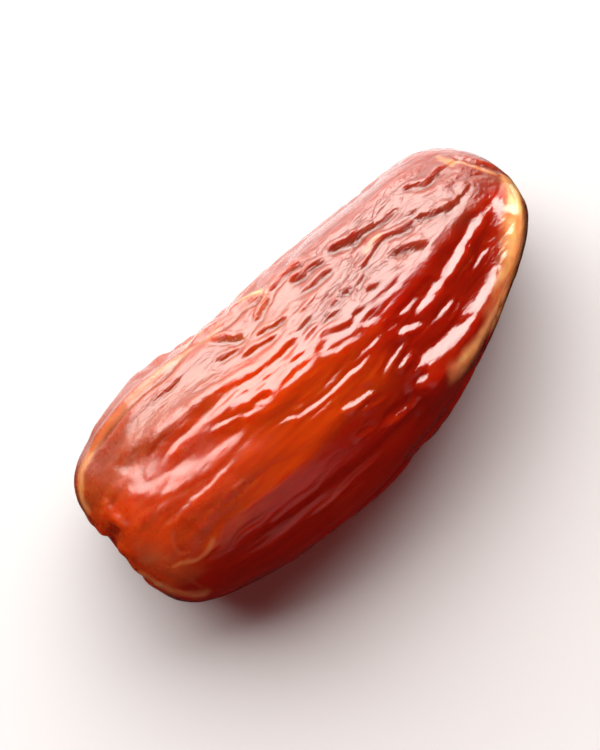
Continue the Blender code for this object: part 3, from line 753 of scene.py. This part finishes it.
def amber_share(points, outwards, surface):
    """How thin and amber the skin is at each point."""
    share = np.zeros(len(points))
    drift = AMBER_UNEVEN * noise_at(points, *AMBER_DRIFT)
    for strength, width, route in AMBER_STROKES:
        chosen, off, place = nearness(points, outwards, on_back(surface, route), AMBER_REACH * width)
        local = width * (1.0 + drift[chosen])
        stroke = strength * np.exp(-np.abs(off / local) ** 3) * taper(place, AMBER_TAPER)
        share[chosen] = np.maximum(share[chosen], stroke)
    return share * smooth_step(points[:, 2] + AMBER_DRIFT_Z * drift, *AMBER_Z)


def keep_attribute(mesh, name, values):
    """Keeps a value for each vertex, which the finish reads by its name."""
    attribute = mesh.attributes.new(name, "FLOAT", "POINT")
    attribute.data.foreach_set("value", values.astype(np.float32))


def fold_skin(date, settings):
    """Sculpts the folds into the smooth body, keeps what the finish reads, and sets it in its place."""
    mesh = date.data
    points = np.zeros(len(mesh.vertices) * 3)
    outwards = np.zeros(len(mesh.vertices) * 3)
    mesh.vertices.foreach_get("co", points)
    mesh.vertices.foreach_get("normal", outwards)
    points = points.reshape(-1, 3) / MM
    outwards = outwards.reshape(-1, 3)
    surface = BVHTree.FromPolygons(points.tolist(), [list(p.vertices) for p in mesh.polygons])
    keep_attribute(mesh, "amber", amber_share(points, outwards, surface))
    keep_attribute(mesh, "glow", tone_and_painted_glow_share(points))
    keep_attribute(mesh, "soft", soft_share(points))
    keep_attribute(mesh, "lined", lined_share(points))
    keep_attribute(mesh, "far_side", far_side_share(points))
    moved, height = folded(points, outwards, surface, settings)
    keep_attribute(mesh, "relief", height)
    low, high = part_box("date")
    middle = (moved.min(axis=0) + moved.max(axis=0)) / 2
    moved[:, 0] += (low.x + high.x) / 2 / MM - middle[0]
    moved[:, 1] += (low.y + high.y) / 2 / MM - middle[1]
    mesh.vertices.foreach_set("co", (moved * MM).ravel())
    mesh.update()


# The finish is laid out in millimetres: evenly, or stretched along the date as fibres and as stripes.
LAYOUTS = {
    "even": (1000.0, 1000.0, 1000.0),
    "fibres": (260.0, 1000.0, 1000.0),
    "stripes": (110.0, 1000.0, 1000.0),
}
# The attributes that the skin's vertices keep for the finish.
KEPT = ("amber", "glow", "relief", "far_side", "soft", "lined")

# Each noise is its scale, detail, roughness and distortion. Each range after it is the low and high
# that it is read between, and the two values that these become.
CLOUD_NOISE = (0.22, 2.0, 0.5, 0.0)
STREAK_NOISE = (1.3, 4.0, 0.6, 0.0)
CLOUD_RANGE = (0.3, 0.7, -0.15, 0.15)
# The painted crease shade: how far the fold height makes creases a darker red and ridges more orange.
RELIEF_RANGE = (-0.4, 0.4, -0.2, 0.2)
STRIPE_NOISE = (0.9, 4.0, 0.6, 0.0)
STRIPE_RANGE = (0.35, 0.65, 0.0, 0.45)
MOTTLE_NOISE = (1.1, 3.0, 0.5, 0.0)
MOTTLE_RANGE = (0.35, 0.65, 0.75, 1.1)

# The fine relief: a grain, and wrinkles along the fibres, less what both come to on average. It is
# lower off the far side and where the shine is soft.
GRAIN_NOISE = (4.2, 3.0, 0.55, 0.0)
GRAIN_SHARE = 0.3
WRINKLE_NOISE = (2.6, 3.0, 0.6, 0.6)
RELIEF_MIDDLE = 0.65
FAR_RELIEF_RANGE = (0.0, 1.0, 0.45, 1.0)
SOFT_RELIEF_RANGE = (0.0, 1.0, 1.0, 0.5)
# Hairlines lie where a noise crosses its middle, at two scales and in patches.
HAIRLINE_NOISE = (2.0, 0.5, 0.4)
HAIRLINE_RANGE = (0.0, 0.034, 1.0, 0.0)
HAIRLINE_SCALES = (1.0, 1.9)
HAIRLINE_DEPTH = 0.42
PATCH_NOISE = (0.4, 2.0, 0.5, 0.0)
LINED_RANGE = (0.42, 0.58, 0.0, 1.0)

# The shine is a little uneven, and softer where the skin is loose. The coat is light on the far side and
# where the flesh has its painted glow, and heavy on the rest.
GLOSS_NOISE = (0.9, 3.0, 0.5, 0.0)
GLOSS_RANGE = (0.3, 0.7, -0.02, 0.03)
LOOSE_ROUGHNESS = 0.1
COAT_RANGE = (0.0, 1.0, 0.15, 0.7)
TURNED_ROUND = (0.0, 1.0, 1.0, 0.0)
SKIN_INPUTS = {
    "Metallic": 0.0,
    "IOR": 1.5,
    "Specular IOR Level": 1.0,
    "Subsurface Weight": 1.0,
    "Subsurface Radius": (4.0, 0.75, 0.28),
    "Subsurface Scale": 1.0 * MM,
    "Coat Roughness": 0.05,
    "Coat IOR": 1.5,
}


class Sheet:
    """A short way to write a node tree: add a node with its values, and link what is given as a socket."""

    def __init__(self, tree):
        self.tree = tree

    def add(self, kind, inputs=None, **values):
        """A new node of a kind, with its values set and its inputs set or linked."""
        made = self.tree.nodes.new(kind)
        for name, value in values.items():
            setattr(made, name, value)
        for name, value in (inputs or {}).items():
            self.set(made.inputs[name], value)
        return made

    def set(self, socket, value):
        """Links a socket, or sets it to a plain value."""
        if isinstance(value, bpy.types.NodeSocket):
            self.tree.links.new(value, socket)
        else:
            socket.default_value = value

    def maths(self, operation, a, b=0.0, clamp=False):
        """The result of one operation on two values."""
        return self.add("ShaderNodeMath", {0: a, 1: b}, operation=operation, use_clamp=clamp).outputs[0]

    def dot(self, a, b):
        """How far two directions point the same way."""
        made = self.add("ShaderNodeVectorMath", {0: a, 1: b}, operation="DOT_PRODUCT")
        return made.outputs["Value"]

    def blend(self, share, a, b):
        """Colour a where share is 0 and colour b where it is 1."""
        made = self.add("ShaderNodeMix", data_type="RGBA")
        for socket, value in ((0, share), (6, a), (7, b)):
            self.set(made.inputs[socket], value)
        return made.outputs[2]

    def spread(self, value, low, high, to_low=0.0, to_high=1.0):
        """The value's range low to high stretched to another, and held there."""
        made = self.add("ShaderNodeMapRange", {0: value, 1: low, 2: high, 3: to_low, 4: to_high}, clamp=True)
        return made.outputs[0]

    def noise(self, place, scale, detail, roughness, distortion):
        """A noise between 0 and 1."""
        inputs = {"Scale": scale, "Detail": detail, "Roughness": roughness, "Distortion": distortion}
        return self.add("ShaderNodeTexNoise", {"Vector": place, **inputs}).outputs["Fac"]

    def hairlines(self, place, scale):
        """One along thin wandering lines and zero between them."""
        wandering = self.noise(place, scale, *HAIRLINE_NOISE)
        from_line = self.maths("ABSOLUTE", self.maths("SUBTRACT", wandering, 0.5))
        return self.spread(from_line, *HAIRLINE_RANGE)


def skin_flesh(sheet, settings, place, kept):
    """The flesh's colour, with painted light and shade: orange where it is painted as lit through the back;
    a darker red down the near flank, down the belly and in the creases; a darker brown on the far side,
    which faces the soft light; with dark streaks.
    """
    cloud = sheet.spread(sheet.noise(place["even"], *CLOUD_NOISE), *CLOUD_RANGE)
    streak = sheet.spread(sheet.noise(place["fibres"], *STREAK_NOISE), *CLOUD_RANGE)
    # Painted light and shade: creases are painted a darker red and ridges more orange. This is added to the
    # painted glow and to the flesh's random tone.
    raised = sheet.spread(kept["relief"], *RELIEF_RANGE)
    cloudy = sheet.maths("ADD", kept["glow"], cloud)
    lit_up = sheet.maths("ADD", cloudy, sheet.maths("ADD", streak, raised), clamp=True)
    near_side = sheet.blend(lit_up, tuple(settings.deep_red), tuple(settings.orange))
    # Painted shade: the far side, which faces the soft light, is painted a darker brown to offset the light
    # that falls full on it.
    far_side = sheet.blend(kept["glow"], tuple(settings.brown_red), tuple(settings.tawny))
    flesh = sheet.blend(kept["far_side"], near_side, far_side)
    stripes = sheet.spread(sheet.noise(place["stripes"], *STRIPE_NOISE), *STRIPE_RANGE)
    return sheet.blend(stripes, flesh, tuple(settings.dark_streak))


def skin_relief(sheet, settings, place, kept):
    """The fine relief of grain, wrinkles and hairlines, as the direction that the skin faces."""
    grain = sheet.maths("MULTIPLY", sheet.noise(place["even"], *GRAIN_NOISE), GRAIN_SHARE)
    high = sheet.maths("ADD", grain, sheet.noise(place["fibres"], *WRINKLE_NOISE))
    high = sheet.maths("SUBTRACT", high, RELIEF_MIDDLE)
    high = sheet.maths("MULTIPLY", high, sheet.spread(kept["far_side"], *FAR_RELIEF_RANGE))
    high = sheet.maths("MULTIPLY", high, sheet.spread(kept["soft"], *SOFT_RELIEF_RANGE))
    patches = sheet.spread(sheet.noise(place["even"], *PATCH_NOISE), *LINED_RANGE)
    patches = sheet.maths("MULTIPLY", kept["lined"], patches)
    lines = sheet.maths("ADD", *[sheet.hairlines(place["fibres"], scale) for scale in HAIRLINE_SCALES])
    lines = sheet.maths("MULTIPLY", lines, patches)
    high = sheet.maths("SUBTRACT", high, sheet.maths("MULTIPLY", lines, HAIRLINE_DEPTH))
    inputs = {"Strength": 1.0, "Distance": settings.grain_height, "Height": high}
    return sheet.add("ShaderNodeBump", inputs).outputs[0]


def skin_roughness(sheet, settings, place, kept, loose):
    """The skin's roughness, from the tip's to the stem end's."""
    gloss = sheet.spread(sheet.noise(place["even"], *GLOSS_NOISE), *GLOSS_RANGE)
    rough = sheet.spread(kept["soft"], 0.0, 1.0, settings.roughness, settings.soft_roughness)
    rough = sheet.maths("ADD", rough, sheet.maths("MULTIPLY", loose, LOOSE_ROUGHNESS))
    return sheet.maths("ADD", rough, gloss)


def skin_coat(sheet, kept):
    """The weight of the clear coat."""
    near_side = sheet.spread(kept["far_side"], *TURNED_ROUND)
    dark = sheet.spread(kept["glow"], *TURNED_ROUND)
    return sheet.spread(sheet.maths("MULTIPLY", near_side, dark), *COAT_RANGE)


def skin_finish(settings):
    """Translucent red flesh under a thin glossy skin, amber where the skin stands loose, with painted light
    and shade in the flesh's colour.
    """
    finish = bpy.data.materials.new("date_skin_finish")
    finish.use_nodes = True
    shader = finish.node_tree.nodes["Principled BSDF"]
    sheet = Sheet(finish.node_tree)
    on_date = sheet.add("ShaderNodeTexCoord").outputs["Object"]
    place = {}
    for name, scale in LAYOUTS.items():
        place[name] = sheet.add("ShaderNodeMapping", {"Vector": on_date, "Scale": scale}).outputs[0]
    kept = {}
    for name in KEPT:
        kept[name] = sheet.add("ShaderNodeAttribute", attribute_name=name).outputs["Fac"]
    mottle = sheet.spread(sheet.noise(place["even"], *MOTTLE_NOISE), *MOTTLE_RANGE)
    loose = sheet.maths("MULTIPLY", kept["amber"], mottle, clamp=True)
    flesh = skin_flesh(sheet, settings, place, kept)
    sheet.set(shader.inputs["Base Color"], sheet.blend(loose, flesh, tuple(settings.amber)))
    sheet.set(shader.inputs["Normal"], skin_relief(sheet, settings, place, kept))
    sheet.set(shader.inputs["Roughness"], skin_roughness(sheet, settings, place, kept, loose))
    sheet.set(shader.inputs["Coat Weight"], skin_coat(sheet, kept))
    for name, value in SKIN_INPUTS.items():
        shader.inputs[name].default_value = value
    return finish


class DateSettings(bpy.types.PropertyGroup):
    """The date's skin: how strong its folds are and the colours of its flesh."""

    broad_folds: bpy.props.FloatProperty(
        name="Broad folds",
        description="How strongly the broad folds of the back turn the skin",
        default=1.0,
        min=0.0,
        max=1.5,
        subtype="FACTOR",
    )
    fine_folds: bpy.props.FloatProperty(
        name="Fine folds",
        description="How strongly the fine folds of the back turn the skin",
        default=1.0,
        min=0.0,
        max=1.5,
        subtype="FACTOR",
    )
    flank_folds: bpy.props.FloatProperty(
        name="Flank folds",
        description="How deep the folds of the flanks and the belly are",
        default=0.8,
        min=0.0,
        max=1.5,
        subtype="FACTOR",
    )
    grain_height: bpy.props.FloatProperty(
        name="Grain height",
        description="Height of the finest wrinkles of the skin",
        default=0.00009,
        min=0.0,
        max=0.0003,
        unit="LENGTH",
    )
    roughness: bpy.props.FloatProperty(
        name="Roughness",
        description="Roughness of the skin at the tip",
        default=0.07,
        min=0.03,
        max=0.8,
        subtype="FACTOR",
    )
    soft_roughness: bpy.props.FloatProperty(
        name="Soft roughness",
        description="Roughness of the skin towards the stem end",
        default=0.27,
        min=0.03,
        max=0.8,
        subtype="FACTOR",
    )
    # Deep red is the flesh's own tone towards the tip, and also its painted shade down the near flank, the
    # belly and in the creases.
    deep_red: bpy.props.FloatVectorProperty(
        name="Deep red",
        description="Flesh where it is darkest",
        size=4,
        default=(0.36, 0.009, 0.0012, 1.0),
        min=0.0,
        max=1.0,
        subtype="COLOR",
    )
    # Brown red is painted shade: the far side's flesh towards the tip is darker to offset the soft light
    # that falls full on the far side.
    brown_red: bpy.props.FloatVectorProperty(
        name="Brown red",
        description="Flesh on the far side towards the tip",
        size=4,
        default=(0.27, 0.045, 0.021, 1.0),
        min=0.0,
        max=1.0,
        subtype="COLOR",
    )
    dark_streak: bpy.props.FloatVectorProperty(
        name="Dark streak",
        description="Lengthwise streaks in the flesh",
        size=4,
        default=(0.17, 0.006, 0.001, 1.0),
        min=0.0,
        max=1.0,
        subtype="COLOR",
    )
    # Tawny is painted shade: the far side's flesh towards the stem end is darker to offset the soft light
    # that falls full on it.
    tawny: bpy.props.FloatVectorProperty(
        name="Tawny",
        description="Flesh on the far side towards the stem end",
        size=4,
        default=(0.31, 0.042, 0.004, 1.0),
        min=0.0,
        max=1.0,
        subtype="COLOR",
    )
    # Orange is painted light: the flesh as if lit through from above, on the back of the stem half.
    orange: bpy.props.FloatVectorProperty(
        name="Orange",
        description="Flesh where light comes through",
        size=4,
        default=(0.52, 0.046, 0.002, 1.0),
        min=0.0,
        max=1.0,
        subtype="COLOR",
    )
    amber: bpy.props.FloatVectorProperty(
        name="Amber",
        description="Loose, thin skin that stands off the flesh",
        size=4,
        default=(0.84, 0.43, 0.16, 1.0),
        min=0.0,
        max=1.0,
        subtype="COLOR",
    )


class StudioSettings(bpy.types.PropertyGroup):
    """The floor, the lights, the surroundings and the camera."""

    floor_size: bpy.props.FloatProperty(
        name="Floor size",
        description="Length of a side of the floor",
        default=4.0,
        unit="LENGTH",
    )
    floor_colour: bpy.props.FloatVectorProperty(
        name="Floor colour",
        description="Colour of the plain floor",
        size=4,
        default=(0.62, 0.63, 0.65, 1.0),
        min=0.0,
        max=1.0,
        subtype="COLOR",
    )
    light_width: bpy.props.FloatProperty(
        name="Light width",
        description="Level length of the soft light",
        default=1.5,
        unit="LENGTH",
    )
    light_rise: bpy.props.FloatProperty(
        name="Light rise",
        description="Length of the soft light's upright side",
        default=1.0,
        unit="LENGTH",
    )
    light_distance: bpy.props.FloatProperty(
        name="Light distance",
        description="Distance from the date to the middle of the soft light",
        default=0.8,
        unit="LENGTH",
    )
    light_power: bpy.props.FloatProperty(
        name="Light power",
        description="Power of the soft light",
        default=21.3,
        unit="POWER",
    )
    light_spread: bpy.props.FloatProperty(
        name="Light spread",
        description="Angle over which the soft light shines, less of it towards the edges",
        default=math.radians(146.0),
        subtype="ANGLE",
    )
    light_height: bpy.props.FloatProperty(
        name="Light height",
        description="Angle of the soft light above the floor",
        default=math.radians(40.0),
        subtype="ANGLE",
    )
    fill: bpy.props.FloatProperty(
        name="Fill",
        description="Brightness of the dim light from all round",
        default=0.01,
        min=0.0,
        max=1.0,
    )
    card: bpy.props.FloatProperty(
        name="Card",
        description="Brightness of the pale card on the near side",
        default=0.17,
        min=0.0,
        max=2.0,
    )
    lit_side: bpy.props.FloatProperty(
        name="Lit side",
        description="Brightness of the low surroundings on the soft light's side",
        default=1.65,
        min=0.0,
        max=5.0,
    )
    bounce_power: bpy.props.FloatProperty(
        name="Bounce power",
        description="Power of the weak red light on the shaded side",
        default=0.0026,
        unit="POWER",
    )
    lens: bpy.props.FloatProperty(
        name="Lens",
        description="Focal length of the camera in millimetres",
        default=300.0,
    )
    picture_height: bpy.props.FloatProperty(
        name="Picture height",
        description="Length on the floor that the upright side of the picture takes in",
        default=0.0564,
        unit="LENGTH",
    )


# The picture's upward direction lies this far round from the date's own +Y, clockwise from above.
CAMERA_TURN = math.radians(-44.0)
CAMERA_AIM = (-1.3 * MM, 1.0 * MM, 8.0 * MM)
SENSOR_WIDTH = 36.0
CLIP_NEAR = 0.01
CLIP_FAR = 10.0

# The soft light stands this far round from the picture's upward direction, anticlockwise from above.
LIGHT_TURN = math.radians(20.0)
LIGHT_AZIMUTH = math.pi / 2 + CAMERA_TURN + LIGHT_TURN
LIGHT_COLOUR = (1.0, 0.965, 0.91)

# A weak red light low on the near side stands for what the flesh sheds into its own shadow.
BOUNCE_PLACE = (-12.0 * MM, -60.0 * MM, 34.0 * MM)
BOUNCE_SIZE = (90.0 * MM, 30.0 * MM)
BOUNCE_SPREAD = math.radians(75.0)
BOUNCE_COLOUR = (1.0, 0.10, 0.07)

# The surroundings are bright on the soft light's side, between these cosines of the angle to it as
# seen from above, and fade out up to a height.
ROOM_COLOUR = (1.0, 0.985, 0.97, 1.0)
LIT_SIDE_COSINES = (0.5, 0.85)
LIT_SIDE_TOP = 0.25
# Straight up or down a direction has no level part, so it is taken as at least this.
LEAST_LEVEL = 0.02
# A dim pale card on the near side: its azimuth, its height and how far it reaches to either side.
CARD_AZIMUTH = math.radians(-108.0)
CARD_HEIGHT = math.radians(32.0)
CARD_SPREAD = (math.radians(9.0), math.radians(20.0))

FLOOR_ROUGHNESS = 0.9
FLOOR_SPECULAR = 0.1
# The painted shadow right under the date is an oblong, longer along the date by the stretch.
SHADE_PLACE = (0.0, -1.5 * MM, 0.0)
SHADE_WIDTH = 17.0 * MM
SHADE_STRETCH = 2.3
SHADE_COLOUR = (0.02, 0.004, 0.004, 1.0)


def plain_paint(name, colour, roughness, specular):
    """A material of one colour."""
    paint = bpy.data.materials.new(name)
    paint.use_nodes = True
    shader = paint.node_tree.nodes["Principled BSDF"]
    shader.inputs["Base Color"].default_value = colour
    shader.inputs["Roughness"].default_value = roughness
    shader.inputs["Specular IOR Level"].default_value = specular
    return paint


def add_floor(settings):
    """The plain floor, which the skin doesn't mirror."""
    select_none()
    bpy.ops.mesh.primitive_plane_add(size=settings.floor_size, location=(0, 0, 0))
    floor = bpy.context.active_object
    floor.name = "floor"
    colour = tuple(settings.floor_colour)
    floor.data.materials.append(plain_paint("floor_paint", colour, FLOOR_ROUGHNESS, FLOOR_SPECULAR))
    floor.visible_glossy = False


def add_shade():
    """A dark sheet right under the date, which only its mirror image sees: a painted shadow in place of the
    floor, which lies in the date's shade there.
    """
    select_none()
    bpy.ops.mesh.primitive_plane_add(size=SHADE_WIDTH, location=SHADE_PLACE)
    shade = bpy.context.active_object
    shade.name = "shade"
    bpy.ops.transform.resize(value=(SHADE_STRETCH, 1.0, 1.0))
    bpy.ops.object.transform_apply(location=False, rotation=False, scale=True)
    shade.data.materials.append(plain_paint("shade_paint", SHADE_COLOUR, 1.0, 0.0))
    shade.visible_camera = False
    shade.visible_diffuse = False
    shade.visible_transmission = False
    shade.visible_shadow = False


def add_area_light(name, place, towards, size, power, spread, colour):
    """An oblong light at a place that lies towards a direction from the date, shining back on it."""
    bpy.ops.object.light_add(type="AREA", location=place)
    light = bpy.context.active_object
    light.name = name
    light.rotation_euler = towards.to_track_quat("Z", "Y").to_euler()
    light.data.shape = "RECTANGLE"
    light.data.size = size[0]
    light.data.size_y = size[1]
    light.data.energy = power
    light.data.spread = spread
    light.data.color = colour
    return light


def add_light(settings):
    """One large soft light, above and beyond the top of the picture."""
    towards = direction_at(LIGHT_AZIMUTH, settings.light_height)
    place = towards * settings.light_distance
    size = (settings.light_width, settings.light_rise)
    power = settings.light_power
    add_area_light("soft_light", place, towards, size, power, settings.light_spread, LIGHT_COLOUR)


def add_bounce(settings):
    """The weak red light, which the skin doesn't mirror."""
    towards = Vector(BOUNCE_PLACE)
    power = settings.bounce_power
    light = add_area_light(
        "red_bounce", BOUNCE_PLACE, towards, BOUNCE_SIZE, power, BOUNCE_SPREAD, BOUNCE_COLOUR
    )
    light.visible_glossy = False


def add_surroundings(settings):
    """A dim room, paler low down on the soft light's side, where its floor and wall lie in full light."""
    world = bpy.data.worlds.new("studio")
    world.use_nodes = True
    sheet = Sheet(world.node_tree)
    outwards = sheet.add("ShaderNodeTexCoord").outputs["Generated"]
    up = sheet.add("ShaderNodeSeparateXYZ", {"Vector": outwards}).outputs["Z"]
    level = sheet.maths("SQRT", sheet.maths("SUBTRACT", 1.0, sheet.maths("MULTIPLY", up, up)))
    side = sheet.dot(outwards, (math.cos(LIGHT_AZIMUTH), math.sin(LIGHT_AZIMUTH), 0.0))
    to_light = sheet.maths("DIVIDE", side, sheet.maths("MAXIMUM", level, LEAST_LEVEL))
    lit = sheet.spread(to_light, *LIT_SIDE_COSINES)
    lit = sheet.maths("MULTIPLY", lit, sheet.spread(up, LIT_SIDE_TOP, 0.0))
    inner, outer = CARD_SPREAD
    to_card = sheet.dot(outwards, direction_at(CARD_AZIMUTH, CARD_HEIGHT))
    card = sheet.spread(to_card, math.cos(outer), math.cos(inner))
    card = sheet.maths("MULTIPLY", card, settings.card)
    strength = sheet.maths("ADD", sheet.maths("MULTIPLY", lit, settings.lit_side), card)
    strength = sheet.maths("ADD", strength, settings.fill)
    background = world.node_tree.nodes["Background"]
    background.inputs["Color"].default_value = ROOM_COLOUR
    sheet.set(background.inputs["Strength"], strength)
    bpy.context.scene.world = world


def add_camera(settings):
    """A camera that looks straight down, turned so that the date lies as in the picture."""
    distance = settings.picture_height * settings.lens / SENSOR_WIDTH
    place = Vector(CAMERA_AIM) + Vector((0, 0, distance))
    bpy.ops.object.camera_add(location=place, rotation=(0.0, 0.0, CAMERA_TURN))
    camera = bpy.context.active_object
    camera.name = "camera"
    camera.data.lens = settings.lens
    camera.data.sensor_width = SENSOR_WIDTH
    camera.data.clip_start = CLIP_NEAR
    camera.data.clip_end = CLIP_FAR
    bpy.context.scene.camera = camera


class DATE_OT_add_date(bpy.types.Operator):
    """Model the date with its folded skin"""

    bl_idname = "date.add_date"
    bl_label = "Add date"
    bl_options = {"REGISTER", "UNDO"}

    def execute(self, context):
        settings = context.scene.date_settings
        date = add_body(SMOOTHING_LEVELS)
        fold_skin(date, settings)
        bpy.ops.object.shade_smooth()
        date.data.materials.append(skin_finish(settings))
        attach(date, "root")
        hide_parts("date")
        return {"FINISHED"}


class DATE_OT_add_stage(bpy.types.Operator):
    """Add the floor, the painted shadow under the date, the lights, the surroundings and the camera"""

    bl_idname = "date.add_stage"
    bl_label = "Add stage"
    bl_options = {"REGISTER", "UNDO"}

    def execute(self, context):
        settings = context.scene.studio_settings
        add_floor(settings)
        add_shade()
        add_light(settings)
        add_bounce(settings)
        add_surroundings(settings)
        add_camera(settings)
        context.scene.view_settings.view_transform = "Standard"
        return {"FINISHED"}


class DATE_PT_sidebar(bpy.types.Panel):
    """The date's and the stage's settings and buttons"""

    bl_label = "Dried date"
    bl_idname = "DATE_PT_sidebar"
    bl_space_type = "VIEW_3D"
    bl_region_type = "UI"
    bl_category = "Dried date"

    def draw(self, context):
        for group in (context.scene.date_settings, context.scene.studio_settings):
            box = self.layout.box()
            for name in group.__annotations__:
                box.prop(group, name)
        self.layout.operator(DATE_OT_add_date.bl_idname)
        self.layout.operator(DATE_OT_add_stage.bl_idname)


CLASSES = (DateSettings, StudioSettings, DATE_OT_add_date, DATE_OT_add_stage, DATE_PT_sidebar)


def register():
    for cls in CLASSES:
        bpy.utils.register_class(cls)
    bpy.types.Scene.date_settings = bpy.props.PointerProperty(type=DateSettings)
    bpy.types.Scene.studio_settings = bpy.props.PointerProperty(type=StudioSettings)


def unregister():
    del bpy.types.Scene.date_settings
    del bpy.types.Scene.studio_settings
    for cls in reversed(CLASSES):
        bpy.utils.unregister_class(cls)


def main():
    register()
    bpy.ops.date.add_date()
    bpy.ops.date.add_stage()


if __name__ == "__main__":
    main()
